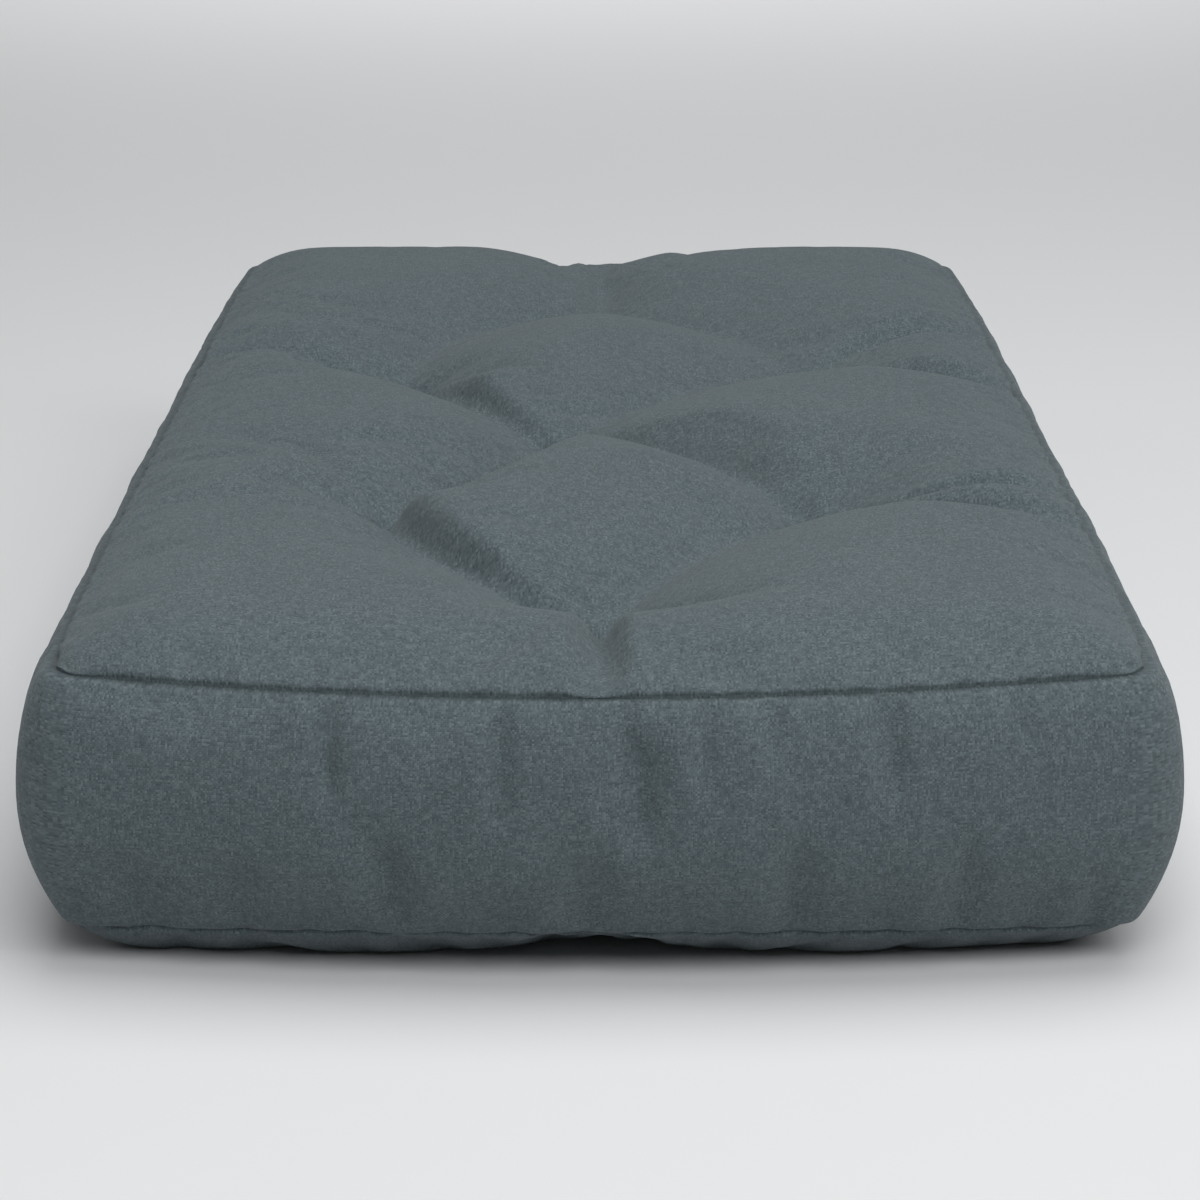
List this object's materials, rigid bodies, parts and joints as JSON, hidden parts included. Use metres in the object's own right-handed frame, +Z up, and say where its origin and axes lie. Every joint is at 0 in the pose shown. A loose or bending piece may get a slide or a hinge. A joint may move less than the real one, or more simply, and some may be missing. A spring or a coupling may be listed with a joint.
{
  "type": "pallet cushion",
  "caption": "Long stuffed seat cushion in plain woven fabric, with a border between two crowned panels and tufts tied in a diamond pattern.",
  "frame": {"origin": "on the surface that the cushion lies on, under the middle of its bounding box", "axes": "+X across the short sides, +Y along the long sides, away from the end that faces the viewer, +Z up"},
  "size_m": [0.405, 0.816, 0.12],
  "materials": {
    "woven_fabric": "blue-grey melange plain weave, matt, with slubbed yarns"
  },
  "bodies": {
    "root": {"cushion": "woven_fabric"}
  },
  "joints": []
}
